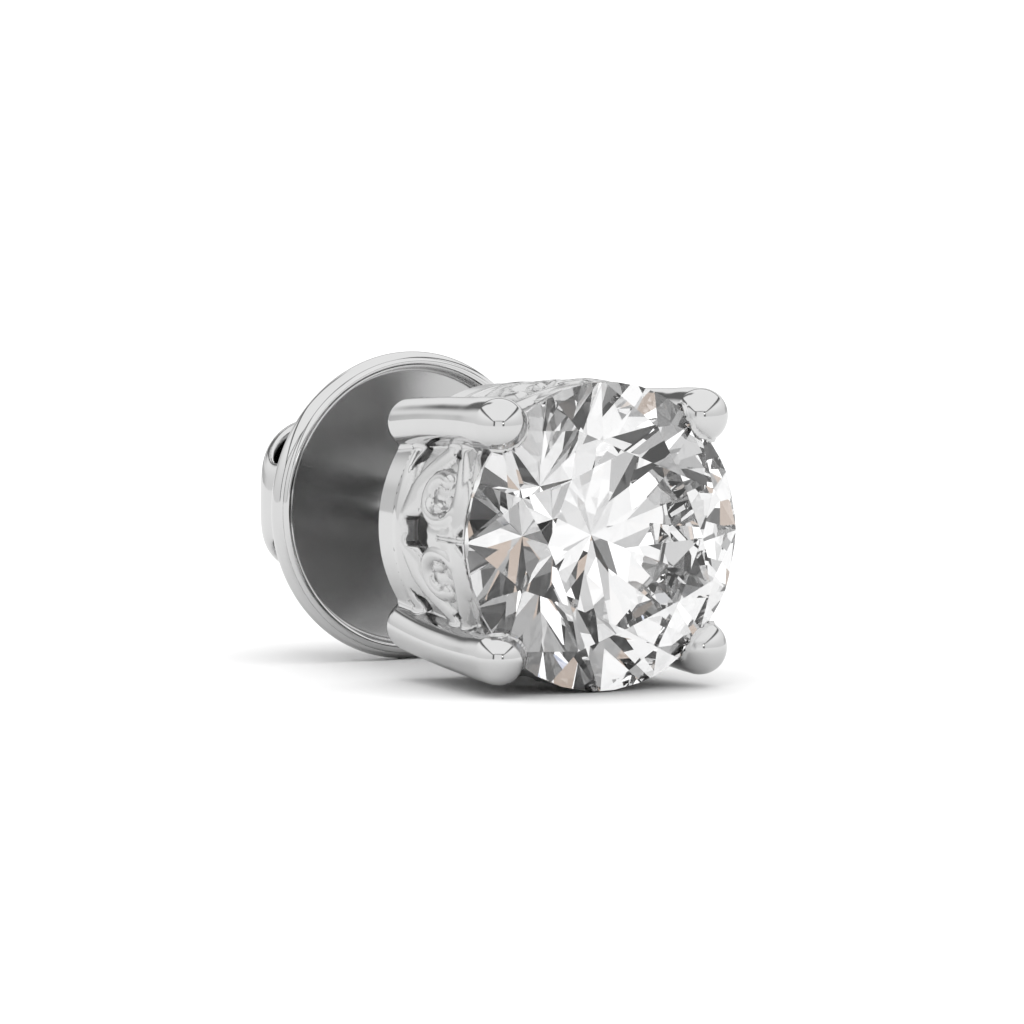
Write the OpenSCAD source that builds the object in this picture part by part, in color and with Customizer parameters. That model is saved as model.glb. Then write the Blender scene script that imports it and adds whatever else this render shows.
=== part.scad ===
// Solitaire stud earring: a round brilliant in a four prong scroll basket, with a post,
// a large disc and a bent strip friction nut. It rests on the disc's rim and a flat of the girdle.
// Each piece is modelled along its own axis, from the stone at the front to the post's tip,
// with heights counted from the middle of the girdle, and then laid down along +Y.

/* [Stone] */
// Diameter of the stone at its girdle
stone_d = 6.5; // [6.4:0.05:6.5]
// Width of the table as a share of the stone's diameter
table_share = 0.57; // [0.54:0.01:0.62]
// Slope of the crown's kite facets
crown_angle = 34.5; // [33:0.5:35.5]
// Slope of the pavilion's main facets
pavilion_angle = 40.75; // [40:0.25:41.25]
// Thickness of the girdle at the kites
girdle_t = 0.12; // [0.1:0.02:0.16]
// Number of flats round the girdle
girdle_flats = 32; // [32, 64, 96]
// How far the girdle's flats lie inside the stone's full radius
girdle_trim = 0.04; // [0.02:0.005:0.05]
// Length of a star facet as a share of the way from the table to the girdle
star_share = 0.5; // [0.4:0.05:0.6]
// Radius where two lower halves meet, as a share of the stone's radius
lower_share = 0.23; // [0.18:0.01:0.3]

/* [Prongs] */
// Half the distance between neighbouring prongs at the tips
tip_spread = 2.42; // [2.35:0.01:2.45]
// Half the distance between neighbouring prongs at their rear ends
rear_spread = 2.12; // [2.08:0.01:2.16]
// How far a prong's middle bows outward from the straight line between its ends
prong_bow = 0.11; // [0.05:0.01:0.16]
// Radius of a prong's round tip
tip_r = 0.575; // [0.53:0.005:0.6]
// Radius of a prong along its length
prong_r = 0.49; // [0.45:0.01:0.5]
// Radius of a prong's round rear end
rear_r = 0.53; // [0.52:0.01:0.56]
// Height of the tip's centre
tip_h = 0.04; // [0:0.01:0.1]
// Height of the rear end's centre
prong_rear_h = 4.15; // [4.05:0.05:4.25]

/* [Gallery] */
// Outer radius of the base ring at its rear edge
ring_r = 2.86; // [2.82:0.02:2.9]
// Outer radius of the gallery where it meets the base ring
gallery_rear_r = 2.96; // [2.9:0.02:3]
// Outer radius of the gallery where its side starts to taper
gallery_belly_r = 3.19; // [3.15:0.01:3.2]
// Outer radius of the gallery at its front edge, under the stone
gallery_front_r = 3.2; // [3.16:0.01:3.2]
// Height of the gallery's front edge
gallery_front_h = 0.22; // [0.2:0.02:0.3]
// Height at which the gallery's side starts to taper
gallery_belly_h = 1.2; // [1:0.1:1.4]
// Height of the base ring's front edge
ring_front_h = 3.3; // [3.25:0.05:3.4]
// Height of the base ring's rear face
ring_rear_h = 4.33; // [4.3:0.01:4.4]
// Thickness of the gallery's wall
wall_t = 0.42; // [0.36:0.02:0.5]
// Radius of a scroll, to the middle of its wire
scroll_r = 0.47; // [0.44:0.01:0.5]
// Radius of a scroll's wire
scroll_wire_r = 0.17; // [0.14:0.01:0.19]
// Height of the scrolls' centres
scroll_h = 1.7; // [1.65:0.05:1.8]
// Distance of a scroll's centre from the middle of its panel
scroll_side = 0.81; // [0.78:0.01:0.82]

/* [Post] */
// Radius of the post where the ear lobe sits
post_r = 0.45; // [0.4:0.01:0.45]
// Radius of the post's rear stretch, which the back grips
grip_r = 0.44; // [0.39:0.01:0.44]
// Radius of the post's foot in its socket
foot_r = 0.4; // [0.36:0.01:0.42]
// Height of the post's rounded tip
tip_end_h = 12.6; // [12:0.1:12.9]

/* [Back disc] */
// Radius of the disc at its rim
disc_r = 3.25; // [3.22:0.01:3.25]
// Height of the front of the disc's lip
lip_h = 7.745; // [7.7:0.005:7.8]
// Thickness of the disc's sheet
sheet_t = 0.33; // [0.28:0.01:0.34]
// Radius of the round bead that makes the lip
lip_bead_r = 0.105; // [0.09:0.005:0.12]
// Radius of the rounding of the rim in front
rim_round_r = 0.2; // [0.16:0.02:0.22]
// Radius of the rounding of the rim behind
rim_rear_r = 0.28; // [0.24:0.01:0.28]

/* [Back nut] */
// Thickness of the bent strip
strip_t = 0.3; // [0.24:0.02:0.3]
// Half the width of the nut's oval outline
strip_half_w = 1.84; // [1.7:0.02:1.9]
// Distance of a curl's centre from the post's axis
curl_x = 1.38; // [1.36:0.01:1.42]
// Height of a curl's centre
curl_h = 10; // [9.9:0.05:10.1]
// Radius of a curl, to the middle of the strip
curl_r = 0.79; // [0.76:0.01:0.8]
// Half the length of the nut's oval outline
nut_reach = 2.34; // [2.33:0.01:2.4]

/* [Fits] */
// Gap between the stone and its seat
seat_gap = 0.03; // [0.02:0.005:0.04]
// Gap between the post's foot and its socket
foot_gap = 0.02; // [0.015:0.005:0.03]
// Radius of the hole in the disc and in the nut
hole_r = 0.5; // [0.5:0.01:0.54]
// Gap between the disc and the nut
nut_gap = 0.04; // [0.03:0.01:0.06]

/* [Hidden] */

$fn = 96;

gold = [0.86, 0.87, 0.88];
brilliant = [0.9, 0.94, 0.97];

stone_r = stone_d / 2;
girdle_h = girdle_t / 2;
girdle_r = stone_r - girdle_trim;
axis_z = max(girdle_r, disc_r);
far = 4 * stone_d;

// Corners of the stone's facets: radius and height
table_r = stone_r * table_share;
table_h = -girdle_h - (stone_r - table_r) * tan(crown_angle);
table_edge_r = table_r * cos(22.5);
star_r = table_edge_r + star_share * (stone_r - table_edge_r);
star_h = -girdle_h - (stone_r - star_r * cos(22.5)) * tan(crown_angle);
lower_r = stone_r * lower_share;
lower_h = girdle_h + (stone_r - lower_r * cos(22.5)) * tan(pavilion_angle);
half_slope = atan((lower_h - girdle_h) / (stone_r - lower_r));

// Directions of the prongs and the panels round the axis
PRONG_TURNS = [45, 135, 225, 315];
PANEL_TURNS = [0, 90, 180, 270];

// Post: heights of the foot's front, the end of the foot, the lobe stretch and the grip
foot_front_h = 3.42;
foot_end_h = 3.82;
lobe_front_h = 4.4;
lobe_rear_h = 7.66;
grip_front_h = 8.24;

// Bridge inside the base ring, and its boss
bridge_w = 1.2;
bridge_front_h = 3.45;
bridge_rear_h = 4.2;
boss_r = 0.86;
boss_front_h = 3.12;

// Disc: the sheet's faces and the rim's band
sheet_front_h = lip_h + 0.305;
sheet_rear_h = sheet_front_h + sheet_t;
lip_r = disc_r - 0.23;
band_front_h = lip_h + 0.345;
band_rear_h = sheet_rear_h - rim_rear_r;

// Nut: the strip's middle line starts flat against the disc and runs to the curl's tangent
base_h = sheet_rear_h + nut_gap + strip_t / 2;
base_x = 0.75;
curl_dx = curl_x - base_x;
curl_dh = curl_h - base_h;
arm_angle = atan2(curl_dh, curl_dx) - asin(curl_r / norm([curl_dx, curl_dh]));
curl_start = arm_angle - 90;
curl_full_end = 90;
curl_end = 420;
curl_shrink = 0.52;

// Whole stud: the front face, and the middle of its length, which stands over the origin
mid_length = (table_h + tip_end_h) / 2;

// Corner of the stone at a radius, an angle round the axis and a height
function corner(r, a, h) = [r * cos(a), r * sin(a), h];

// Unit normal of the plane through three corners, facing away from the stone's middle
function outward(a, b, c) =
    let (n = cross(b - a, c - a), u = n / norm(n))
    u * a < 0 ? -u : u;

// One facet as [normal, distance from the stone's middle]
function facet(a, b, c) =
    let (n = outward(a, b, c))
    [n, n * a];

// Facet that leans evenly at an angle round the axis, through a radius and a height
function leaning(turn, slope, r, h) =
    let (n = [sin(slope) * cos(turn), sin(slope) * sin(turn), sign(h) * cos(slope)])
    [n, n * corner(r, turn, h)];

FACETS = [
    [[0, 0, -1], -table_h],
    for (i = [0:7]) let (a = 45 * i) each [
        leaning(a, crown_angle, stone_r, -girdle_h),
        leaning(a, pavilion_angle, stone_r, girdle_h),
        facet(corner(table_r, a, table_h), corner(table_r, a + 45, table_h),
              corner(star_r, a + 22.5, star_h)),
        for (side = [-1, 1]) each [
            facet(corner(star_r, a + side * 22.5, star_h), corner(stone_r, a, -girdle_h),
                  corner(stone_r, a + side * 22.5, -girdle_h)),
            facet(corner(lower_r, a + side * 22.5, lower_h), corner(stone_r, a, girdle_h),
                  corner(stone_r, a + side * 22.5, girdle_h))
        ]
    ]
];

// Lays a piece that was built along its own axis down along +Y, resting on the floor
module lay_down() {
    translate([0, -mid_length, axis_z])
        rotate([-90, 0, 0])
            children();
}

// Everything on the stone's side of one facet
module half_space(plane) {
    n = plane[0];
    rotate([0, acos(n[2]), atan2(n[1], n[0])])
        translate([-far / 2, -far / 2, plane[1] - far])
            cube(far);
}

// Outline of the girdle: even flats, one of them at each end of both cross axes
module girdle_outline() {
    step = 360 / girdle_flats;
    corner_r = girdle_r / cos(step / 2);
    polygon([for (i = [0:girdle_flats - 1]) let (a = (i + 0.5) * step) corner_r * [cos(a), sin(a)]]);
}

module stone() {
    color(brilliant)
        lay_down()
            intersection() {
                linear_extrude(stone_d, center = true)
                    girdle_outline();
                intersection_for (plane = FACETS)
                    half_space(plane);
            }
}

// Space that the stone takes, with the seat's gap all round
module seat() {
    r = stone_r + seat_gap;
    front_h = table_h - seat_gap;
    crown_h = girdle_h + seat_gap;
    rotate_extrude()
        polygon([
            [0, front_h],
            [r - (crown_h + front_h) / -tan(crown_angle), front_h],
            [r, -crown_h],
            [r, crown_h],
            [0, crown_h + r * tan(half_slope)]
        ]);
}

// One bowed prong with a ball at each end, standing out from the axis at 0 degrees
module prong() {
    tip = [tip_spread * sqrt(2), 0, tip_h];
    rear = [rear_spread * sqrt(2), 0, prong_rear_h];
    way = rear - tip;
    bend_r = norm(way) ^ 2 / (8 * prong_bow) + prong_bow / 2;
    half_turn = asin(norm(way) / 2 / bend_r);
    translate(tip)
        sphere(r = tip_r);
    translate(rear)
        sphere(r = rear_r);
    translate((tip + rear) / 2)
        rotate([0, atan2(way[0], way[2]), 0])
            translate([prong_bow - bend_r, 0, 0])
                rotate([90, half_turn, 0])
                    rotate_extrude(angle = 2 * half_turn)
                        translate([bend_r, 0])
                            circle(r = prong_r);
}

// Round wall of the gallery with the base ring behind it
module gallery_wall() {
    edge = 0.06;
    rotate_extrude()
        polygon([
            [gallery_front_r, gallery_front_h],
            [gallery_belly_r, gallery_belly_h],
            [gallery_rear_r, ring_front_h],
            [ring_r, ring_rear_h - edge],
            [ring_r - edge, ring_rear_h],
            [gallery_rear_r - wall_t, ring_rear_h],
            [gallery_rear_r - wall_t, ring_front_h],
            [gallery_front_r - wall_t, gallery_front_h]
        ]);
}

// Openings on one side of a panel: distance from the panel's middle, then height
LOBE_HOLE = [[1.48, 1.2], [1.62, 1.1], [1.8, 1.5], [1.64, 1.6]];
LEAF_HOLE = [[1.4, 0.32], [1.86, 0.32], [1.86, 0.76], [1.76, 0.76]];
RAIL_HOLE = [[0.08, 0.36], [0.28, 0.36], [0.12, 0.58]];
STRAP_HOLE = [[1.1, 3.4], [1.4, 3.18], [1.6, 2.97], [1.8, 2.95], [1.84, 3.1], [1.62, 3.26], [1.2, 3.44]];

// Keyhole behind the two scrolls, symmetrical about the panel's middle
KEYHOLE = [[0, 1.83], [0.2, 2.1], [0.34, 2.32], [0.56, 2.44], [0.42, 2.62], [0.38, 2.86], [0.3, 3.02]];

// Openings of one panel, cut outwards from the axis along +X
module panel_cuts() {
    rotate([90, 0, 90])
        linear_extrude(stone_d)
            for (side = [0, 1])
                mirror([side, 0, 0]) {
                    polygon(concat(KEYHOLE, [[0, 3.02]]));
                    for (outline = [LOBE_HOLE, LEAF_HOLE, RAIL_HOLE, STRAP_HOLE])
                        polygon(outline);
                    translate([scroll_side, scroll_h])
                        circle(r = scroll_r - scroll_wire_r);
                }
}

// Pair of scrolls with their beads on the panel that faces +X
module panel_scrolls() {
    lean = atan((gallery_belly_r - gallery_rear_r) / (ring_front_h - gallery_belly_h));
    wall_r = gallery_belly_r - tan(lean) * (scroll_h - gallery_belly_h) - wall_t / 2;
    turn = asin(scroll_side / wall_r);
    for (side = [0, 1])
        mirror([0, side, 0])
            rotate([0, 0, turn])
                translate([wall_r, 0, scroll_h])
                    rotate([0, 90 + lean, 0]) {
                        rotate_extrude()
                            translate([scroll_r, 0])
                                circle(r = scroll_wire_r, $fn = 48);
                        translate([0.1, -0.14, -0.02])
                            sphere(r = 0.2, $fn = 48);
                    }
}

// Plain bar across the base ring with the boss that holds the post
module bridge() {
    half_l = gallery_rear_r - wall_t / 2;
    translate([-half_l, -bridge_w / 2, bridge_front_h])
        cube([2 * half_l, bridge_w, bridge_rear_h - bridge_front_h]);
    translate([0, 0, boss_front_h])
        cylinder(h = ring_rear_h - boss_front_h, r = boss_r);
}

// Post, or its space with a gap all round
module post_form(gap) {
    translate([0, 0, foot_front_h - gap])
        cylinder(h = foot_end_h - foot_front_h + gap, r = foot_r + gap);
    translate([0, 0, foot_end_h])
        cylinder(h = lobe_front_h - foot_end_h, r1 = foot_r + gap, r2 = post_r + gap);
    translate([0, 0, lobe_front_h])
        cylinder(h = lobe_rear_h - lobe_front_h, r = post_r + gap);
    translate([0, 0, lobe_rear_h])
        cylinder(h = grip_front_h - lobe_rear_h, r1 = post_r + gap, r2 = grip_r + gap);
    translate([0, 0, grip_front_h])
        cylinder(h = tip_end_h - grip_r - grip_front_h, r = grip_r + gap);
    translate([0, 0, tip_end_h - grip_r])
        sphere(r = grip_r + gap);
}

module setting() {
    color(gold)
        lay_down()
            difference() {
                union() {
                    difference() {
                        gallery_wall();
                        for (turn = PANEL_TURNS)
                            rotate(turn)
                                panel_cuts();
                    }
                    for (turn = PANEL_TURNS)
                        rotate(turn)
                            panel_scrolls();
                    for (turn = PRONG_TURNS)
                        rotate(turn)
                            prong();
                    bridge();
                }
                seat();
                post_form(foot_gap);
            }
}

module post() {
    color(gold)
        lay_down()
            post_form(0);
}

module back_disc() {
    color(gold)
        lay_down()
            rotate_extrude()
                difference() {
                    union() {
                        translate([0, sheet_front_h])
                            square([disc_r - rim_rear_r, sheet_t]);
                        translate([lip_r - lip_bead_r, lip_h + lip_bead_r])
                            square([2 * lip_bead_r, band_rear_h - lip_h]);
                        translate([lip_r, lip_h + lip_bead_r])
                            circle(r = lip_bead_r, $fn = 48);
                        translate([disc_r - rim_round_r, band_front_h])
                            circle(r = rim_round_r, $fn = 48);
                        translate([disc_r - rim_round_r, band_front_h])
                            square([rim_round_r, band_rear_h - band_front_h]);
                        intersection() {
                            translate([disc_r - rim_rear_r, band_rear_h])
                                circle(r = rim_rear_r, $fn = 64);
                            translate([disc_r - 2 * rim_rear_r, band_rear_h])
                                square(2 * rim_rear_r);
                        }
                    }
                    translate([-1, 0])
                        square([1 + hole_r, far]);
                }
}

// Radius of a curl's middle line at an angle: even at first, then closing in to a roll
function curl_radius(a) =
    a < curl_full_end ? curl_r
    : curl_r - curl_shrink * (a - curl_full_end) / (curl_end - curl_full_end);

// Point on one side of the bent strip, seen along its width
function curl_point(a, offset) =
    [curl_x + (curl_radius(a) + offset) * cos(a), curl_h + (curl_radius(a) + offset) * sin(a)];

// Outline of one half of the bent strip, from under its base round the roll and back
function half_strip() =
    let (half_t = strip_t / 2, miter = half_t * tan(arm_angle / 2))
    concat(
        [[base_x + miter, base_h - half_t]],
        [for (a = [curl_start:10:curl_end]) curl_point(a, half_t)],
        [for (a = [curl_end:-10:curl_start]) curl_point(a, -half_t)],
        [[base_x - miter, base_h + half_t]]
    );

// Outline of the whole strip: one half, then its mirror image backwards
function strip_outline() =
    let (half = half_strip(), last = len(half) - 1)
    concat(half, [for (i = [last:-1:0]) [-half[i][0], half[i][1]]]);

// Oval outline of the nut seen along the post
module nut_outline() {
    scale([nut_reach, strip_half_w])
        circle(r = 1);
}

module back_nut() {
    color(gold)
        lay_down()
            difference() {
                intersection() {
                    rotate([90, 0, 0])
                        linear_extrude(2 * stone_d, center = true)
                            polygon(strip_outline());
                    linear_extrude(tip_end_h)
                        nut_outline();
                }
                cylinder(h = curl_h, r = hole_r);
            }
}

stone();
setting();
post();
back_disc();
back_nut();
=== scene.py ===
"""Solitaire stud earring: a round brilliant in a four prong scroll basket, with a disc back.

Sizes of the pieces are in millimetres along the stud's own axis: x and y across, and h from
the middle of the girdle to the post's tip. The row frame is in metres, with the stud lying
along +Y, so Axis.lay takes every mesh there.
"""

import itertools
import logging
import math
from collections.abc import Callable, Sequence
from dataclasses import dataclass, field
from enum import Enum

import bmesh
import bpy
import numpy as np
from mathutils import Matrix, Vector


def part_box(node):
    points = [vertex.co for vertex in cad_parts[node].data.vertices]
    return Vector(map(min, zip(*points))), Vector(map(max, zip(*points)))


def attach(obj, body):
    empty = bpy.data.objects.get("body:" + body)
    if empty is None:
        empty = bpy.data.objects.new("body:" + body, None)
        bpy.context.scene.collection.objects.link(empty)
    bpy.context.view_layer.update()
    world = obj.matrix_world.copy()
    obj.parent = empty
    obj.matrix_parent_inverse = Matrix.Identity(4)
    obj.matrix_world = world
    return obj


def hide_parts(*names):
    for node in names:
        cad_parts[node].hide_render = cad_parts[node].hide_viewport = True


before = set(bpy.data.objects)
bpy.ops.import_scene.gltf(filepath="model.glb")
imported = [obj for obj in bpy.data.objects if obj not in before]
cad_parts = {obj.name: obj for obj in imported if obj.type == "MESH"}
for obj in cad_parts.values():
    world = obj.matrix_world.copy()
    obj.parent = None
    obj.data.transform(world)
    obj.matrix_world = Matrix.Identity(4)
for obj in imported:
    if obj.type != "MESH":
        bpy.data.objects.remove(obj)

MM = 0.001
# A distance past any that counts, in millimetres and in metres alike.
FAR = 9.0
# Height of the stud's axis over the floor in millimetres.
AXIS_RISE = 3.25
# Weld distance in metres and crease angle of turned pieces.
WELD = 1e-8
CREASE_DEG = 40
LOG = logging.getLogger("stud")
Points = np.ndarray
Field = Callable[[Points], np.ndarray]


class Body(Enum):
    """Bodies that a piece can ride on."""

    STUD = "stud"
    BACK = "back"


class Slot(Enum):
    """Material slots of the record."""

    STONE = "stone"
    CASTING = "white_gold"
    DISC = "white_gold_disc"
    STRIP = "white_gold_strip"


@dataclass(frozen=True)
class Axis:
    """The stud's own axis in the row frame.

    Attributes:
        rise: height of the axis over the floor in millimetres.
        girdle_y: place of the girdle's middle along +Y in millimetres.
    """

    rise: float
    girdle_y: float

    def lay(self, points: Points) -> Points:
        """Takes points from the stud's own axis to the row frame.

        Args:
            points: rows of x, y and h in millimetres.

        Returns:
            Rows of X, Y and Z in metres.
        """
        x, y, h = np.asarray(points, float).T
        return np.column_stack([x, h + self.girdle_y, self.rise - y]) * MM


def smooth_min(a: np.ndarray, b: np.ndarray, blend: float) -> np.ndarray:
    """Joins two distance fields with a fillet.

    Args:
        a: first field.
        b: second field.
        blend: width of the fillet in millimetres.

    Returns:
        The joined field.
    """
    near = np.maximum(blend - np.abs(a - b), 0) / blend
    return np.minimum(a, b) - near * near * blend / 4


def smooth_max(a: np.ndarray, b: np.ndarray, blend: float) -> np.ndarray:
    """Keeps what two distance fields share, with a rounded edge as wide as blend in millimetres."""
    return -smooth_min(-a, -b, blend)


def smooth_curve(points: Sequence[Sequence[float]], steps: int) -> np.ndarray:
    """Runs a Catmull-Rom curve through points.

    Args:
        points: rows of values, all of which are interpolated.
        steps: rows to make between two given ones.

    Returns:
        Rows along the curve, the first and the last given point included.
    """
    given = np.asarray(points, float)
    p = np.vstack([2 * given[0] - given[1], given, 2 * given[-1] - given[-2]])
    t = np.linspace(0, 1, steps, endpoint=False)[:, None]
    rows = []
    for a, b, c, d in zip(p, p[1:], p[2:], p[3:]):
        cubic = (3 * b - a - 3 * c + d) * t + (2 * a - 5 * b + 4 * c - d)
        rows.append(b + ((c - a) * t + cubic * t * t) / 2)
    return np.vstack([*rows, given[-1:]])


def polygon_distance(u: np.ndarray, v: np.ndarray, corners: Sequence[Sequence[float]]) -> np.ndarray:
    """Signed distance to a polygon, negative inside.

    Args:
        u: first coordinate of each point.
        v: second coordinate of each point.
        corners: the polygon's corners in order.

    Returns:
        The distance of each point.
    """
    pts = np.asarray(corners, float)
    best = np.full(u.shape, np.inf)
    inside = np.zeros(u.shape, bool)
    for (ax, ay), (bx, by) in zip(pts, np.roll(pts, -1, axis=0)):
        ex, ey = bx - ax, by - ay
        t = np.clip(((u - ax) * ex + (v - ay) * ey) / (ex * ex + ey * ey), 0, 1)
        best = np.minimum(best, (u - ax - t * ex) ** 2 + (v - ay - t * ey) ** 2)
        if ey != 0:
            crosses = (ay > v) != (by > v)
            inside ^= crosses & (u < ex * (v - ay) / ey + ax)
    return np.where(inside, -1, 1) * np.sqrt(best)


@dataclass(frozen=True)
class Ridge:
    """One raised strand or sunk groove of the gallery, drawn on the rolled-out wall.

    Attributes:
        route: rows of distance from the panel's middle and height.
        half_w: half its width.
        rise: how far it stands out, negative for a groove.
        bluntness: low for a steep edge, high for a soft one.
        steps: rows to make between two given ones.
    """

    route: tuple[tuple[float, float], ...]
    half_w: float
    rise: float
    bluntness: float = 0.6
    steps: int = 4

    def relief(self, u: np.ndarray, h: np.ndarray) -> np.ndarray:
        """How far it lifts the wall's face at each point.

        Args:
            u: distance round the wall from the panel's middle.
            h: height along the axis.

        Returns:
            The lift of each point.
        """
        rows = smooth_curve(self.route, self.steps)
        best = np.full(u.shape, np.inf)
        for (au, ah), (bu, bh) in zip(rows, rows[1:]):
            eu, eh = bu - au, bh - ah
            t = np.clip(((u - au) * eu + (h - ah) * eh) / (eu * eu + eh * eh), 0, 1)
            best = np.minimum(best, (u - au - t * eu) ** 2 + (h - ah - t * eh) ** 2)
        inside = np.maximum(1 - best / self.half_w**2, 0)
        return self.rise * inside**self.bluntness


@dataclass(frozen=True)
class Mound:
    """One oval dome or hollow of the gallery, drawn on the rolled-out wall.

    Attributes:
        middle: distance from the panel's middle, and height.
        radii: its reach round the wall and along the axis.
        rise: how far it stands out, negative for a hollow.
        bluntness: low for a steep edge, high for a soft one.
    """

    middle: tuple[float, float]
    radii: tuple[float, float]
    rise: float
    bluntness: float = 0.5

    def relief(self, u: np.ndarray, h: np.ndarray) -> np.ndarray:
        """How far it lifts the wall's face at each point.

        Args:
            u: distance round the wall from the panel's middle.
            h: height along the axis.

        Returns:
            The lift of each point.
        """
        across = (u - self.middle[0]) / self.radii[0]
        along = (h - self.middle[1]) / self.radii[1]
        inside = np.maximum(1 - across * across - along * along, 0)
        return self.rise * inside**self.bluntness


@dataclass(frozen=True)
class Mesher:
    """Turns a distance field into a mesh by surface nets.

    Attributes:
        step: width of a cell in millimetres.
        pulls: times that each corner is pulled onto the true surface.
        probe: distance for measuring the field's slope.
        least: smallest squared slope that a pull is worked out with.
    """

    step: float
    pulls: int = 2
    probe: float = 0.004
    least: float = 0.25

    def slope(self, solid: Field, points: Points) -> np.ndarray:
        """Measures the field's slope from the four corners of a small tetrahedron.

        Args:
            solid: distance field.
            points: points to measure at.

        Returns:
            The slope at each point.
        """
        total = np.zeros(points.shape)
        for corner in ((1, 1, 1), (1, -1, -1), (-1, 1, -1), (-1, -1, 1)):
            way = np.array(corner)
            total += solid(points + way * self.probe)[:, None] * way
        return total / (4 * self.probe)

    def cells(self, values: np.ndarray) -> tuple[np.ndarray, np.ndarray]:
        """Finds the cells that the surface passes through, and the quads between them.

        Args:
            values: the field on a grid.

        Returns:
            A corner for each such cell, in cells from the grid's origin, and rows of four corners.
        """
        inside = values < 0
        shape = np.array(values.shape) - 1
        count = np.zeros(shape, int)
        for offset in itertools.product((0, 1), repeat=3):
            span = tuple(slice(o, o + n) for o, n in zip(offset, shape))
            count += inside[span]
        active = (count > 0) & (count < 8)
        index = np.full(shape, -1)
        index[active] = np.arange(active.sum())
        home = np.argwhere(active)
        total = np.zeros(home.shape)
        hits = np.zeros(len(home))
        for start in itertools.product((0, 1), repeat=3):
            for axis in range(3):
                if start[axis]:
                    continue
                end = np.array(start)
                end[axis] = 1
                low = values[tuple((home + start).T)]
                high = values[tuple((home + end).T)]
                crossed = (low < 0) != (high < 0)
                share = np.where(crossed, low / np.where(crossed, low - high, 1), 0)
                spot = np.array(start) + share[:, None] * (end - np.array(start))
                total += spot * crossed[:, None]
                hits += crossed
        corners = home + total / hits[:, None]
        quads = []
        for axis in range(3):
            one, two = (axis + 1) % 3, (axis + 2) % 3
            low = np.take(inside, range(values.shape[axis] - 1), axis)
            high = np.take(inside, range(1, values.shape[axis]), axis)
            spot = np.argwhere(low != high)
            back_one = np.eye(3, dtype=int)[one]
            back_two = np.eye(3, dtype=int)[two]
            around = [spot, spot - back_one, spot - back_one - back_two, spot - back_two]
            rows = np.column_stack([index[tuple(c.T)] for c in around])
            outward = low[tuple(spot.T)]
            quads.append(np.where(outward[:, None], rows, rows[:, ::-1]))
        return corners, np.vstack(quads)

    def grid(self, low: Sequence[float], high: Sequence[float]) -> Points:
        """Lays a grid between two corners.

        Args:
            low: the lowest corner, in millimetres.
            high: the highest corner, in millimetres.

        Returns:
            The grid's points, by their three numbers along the axes.
        """
        counts = np.ceil((np.asarray(high) - low) / self.step).astype(int) + 1
        ticks = [low[i] + self.step * np.arange(counts[i]) for i in range(3)]
        return np.stack(np.meshgrid(*ticks, indexing="ij"), axis=-1)

    def mesh(self, name: str, solid: Field, low: Points, values: np.ndarray, axis: Axis) -> bpy.types.Object:
        """Builds the object whose surface is the field's zero.

        Args:
            name: the piece's name.
            solid: distance field, negative inside.
            low: the grid's lowest corner, in millimetres.
            values: the field on the grid.
            axis: the stud's axis in the row frame.

        Returns:
            The smooth-shaded object, linked to the scene.
        """
        corners, quads = self.cells(values)
        points = np.asarray(low) + corners * self.step
        for _ in range(self.pulls):
            slope = self.slope(solid, points)
            squared = np.maximum((slope**2).sum(1), self.least)
            pull = solid(points)[:, None] * slope / squared[:, None]
            limit = self.step / 2
            points = points - np.clip(pull, -limit, limit)
        normals = self.slope(solid, points)
        normals /= np.linalg.norm(normals, axis=1)[:, None]
        turned = axis.lay(normals) - axis.lay(np.zeros((1, 3)))
        mesh = bpy.data.meshes.new(name)
        mesh.from_pydata(axis.lay(points), [], quads.tolist())
        mesh.shade_smooth()
        mesh.normals_split_custom_set_from_vertices((turned / MM).tolist())
        piece = bpy.data.objects.new(name, mesh)
        bpy.context.scene.collection.objects.link(piece)
        return piece


def bent_tube(p: Points, ends: tuple[Points, Points], bow: Points, radii: Sequence[float]) -> np.ndarray:
    """Distance to a bowed rod with round ends.

    Args:
        p: points to measure.
        ends: the middles of the two end balls.
        bow: how far the rod's middle stands off the straight line.
        radii: radius at even steps along the rod.

    Returns:
        The distance of each point.
    """
    a, b = ends
    way = b - a
    t = np.clip((p - a) @ way / (way @ way), 0, 1)
    for _ in range(2):
        centre = a + t[:, None] * way + (4 * t * (1 - t))[:, None] * bow
        along = way + (4 - 8 * t)[:, None] * bow
        t = np.clip(t + ((p - centre) * along).sum(1) / (along**2).sum(1), 0, 1)
    centre = a + t[:, None] * way + (4 * t * (1 - t))[:, None] * bow
    fine_steps = 24
    fine = smooth_curve([[r] for r in radii], fine_steps)[:, 0]
    radius = np.interp(t, np.linspace(0, 1, len(fine)), fine)
    return np.linalg.norm(p - centre, axis=1) - radius


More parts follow.
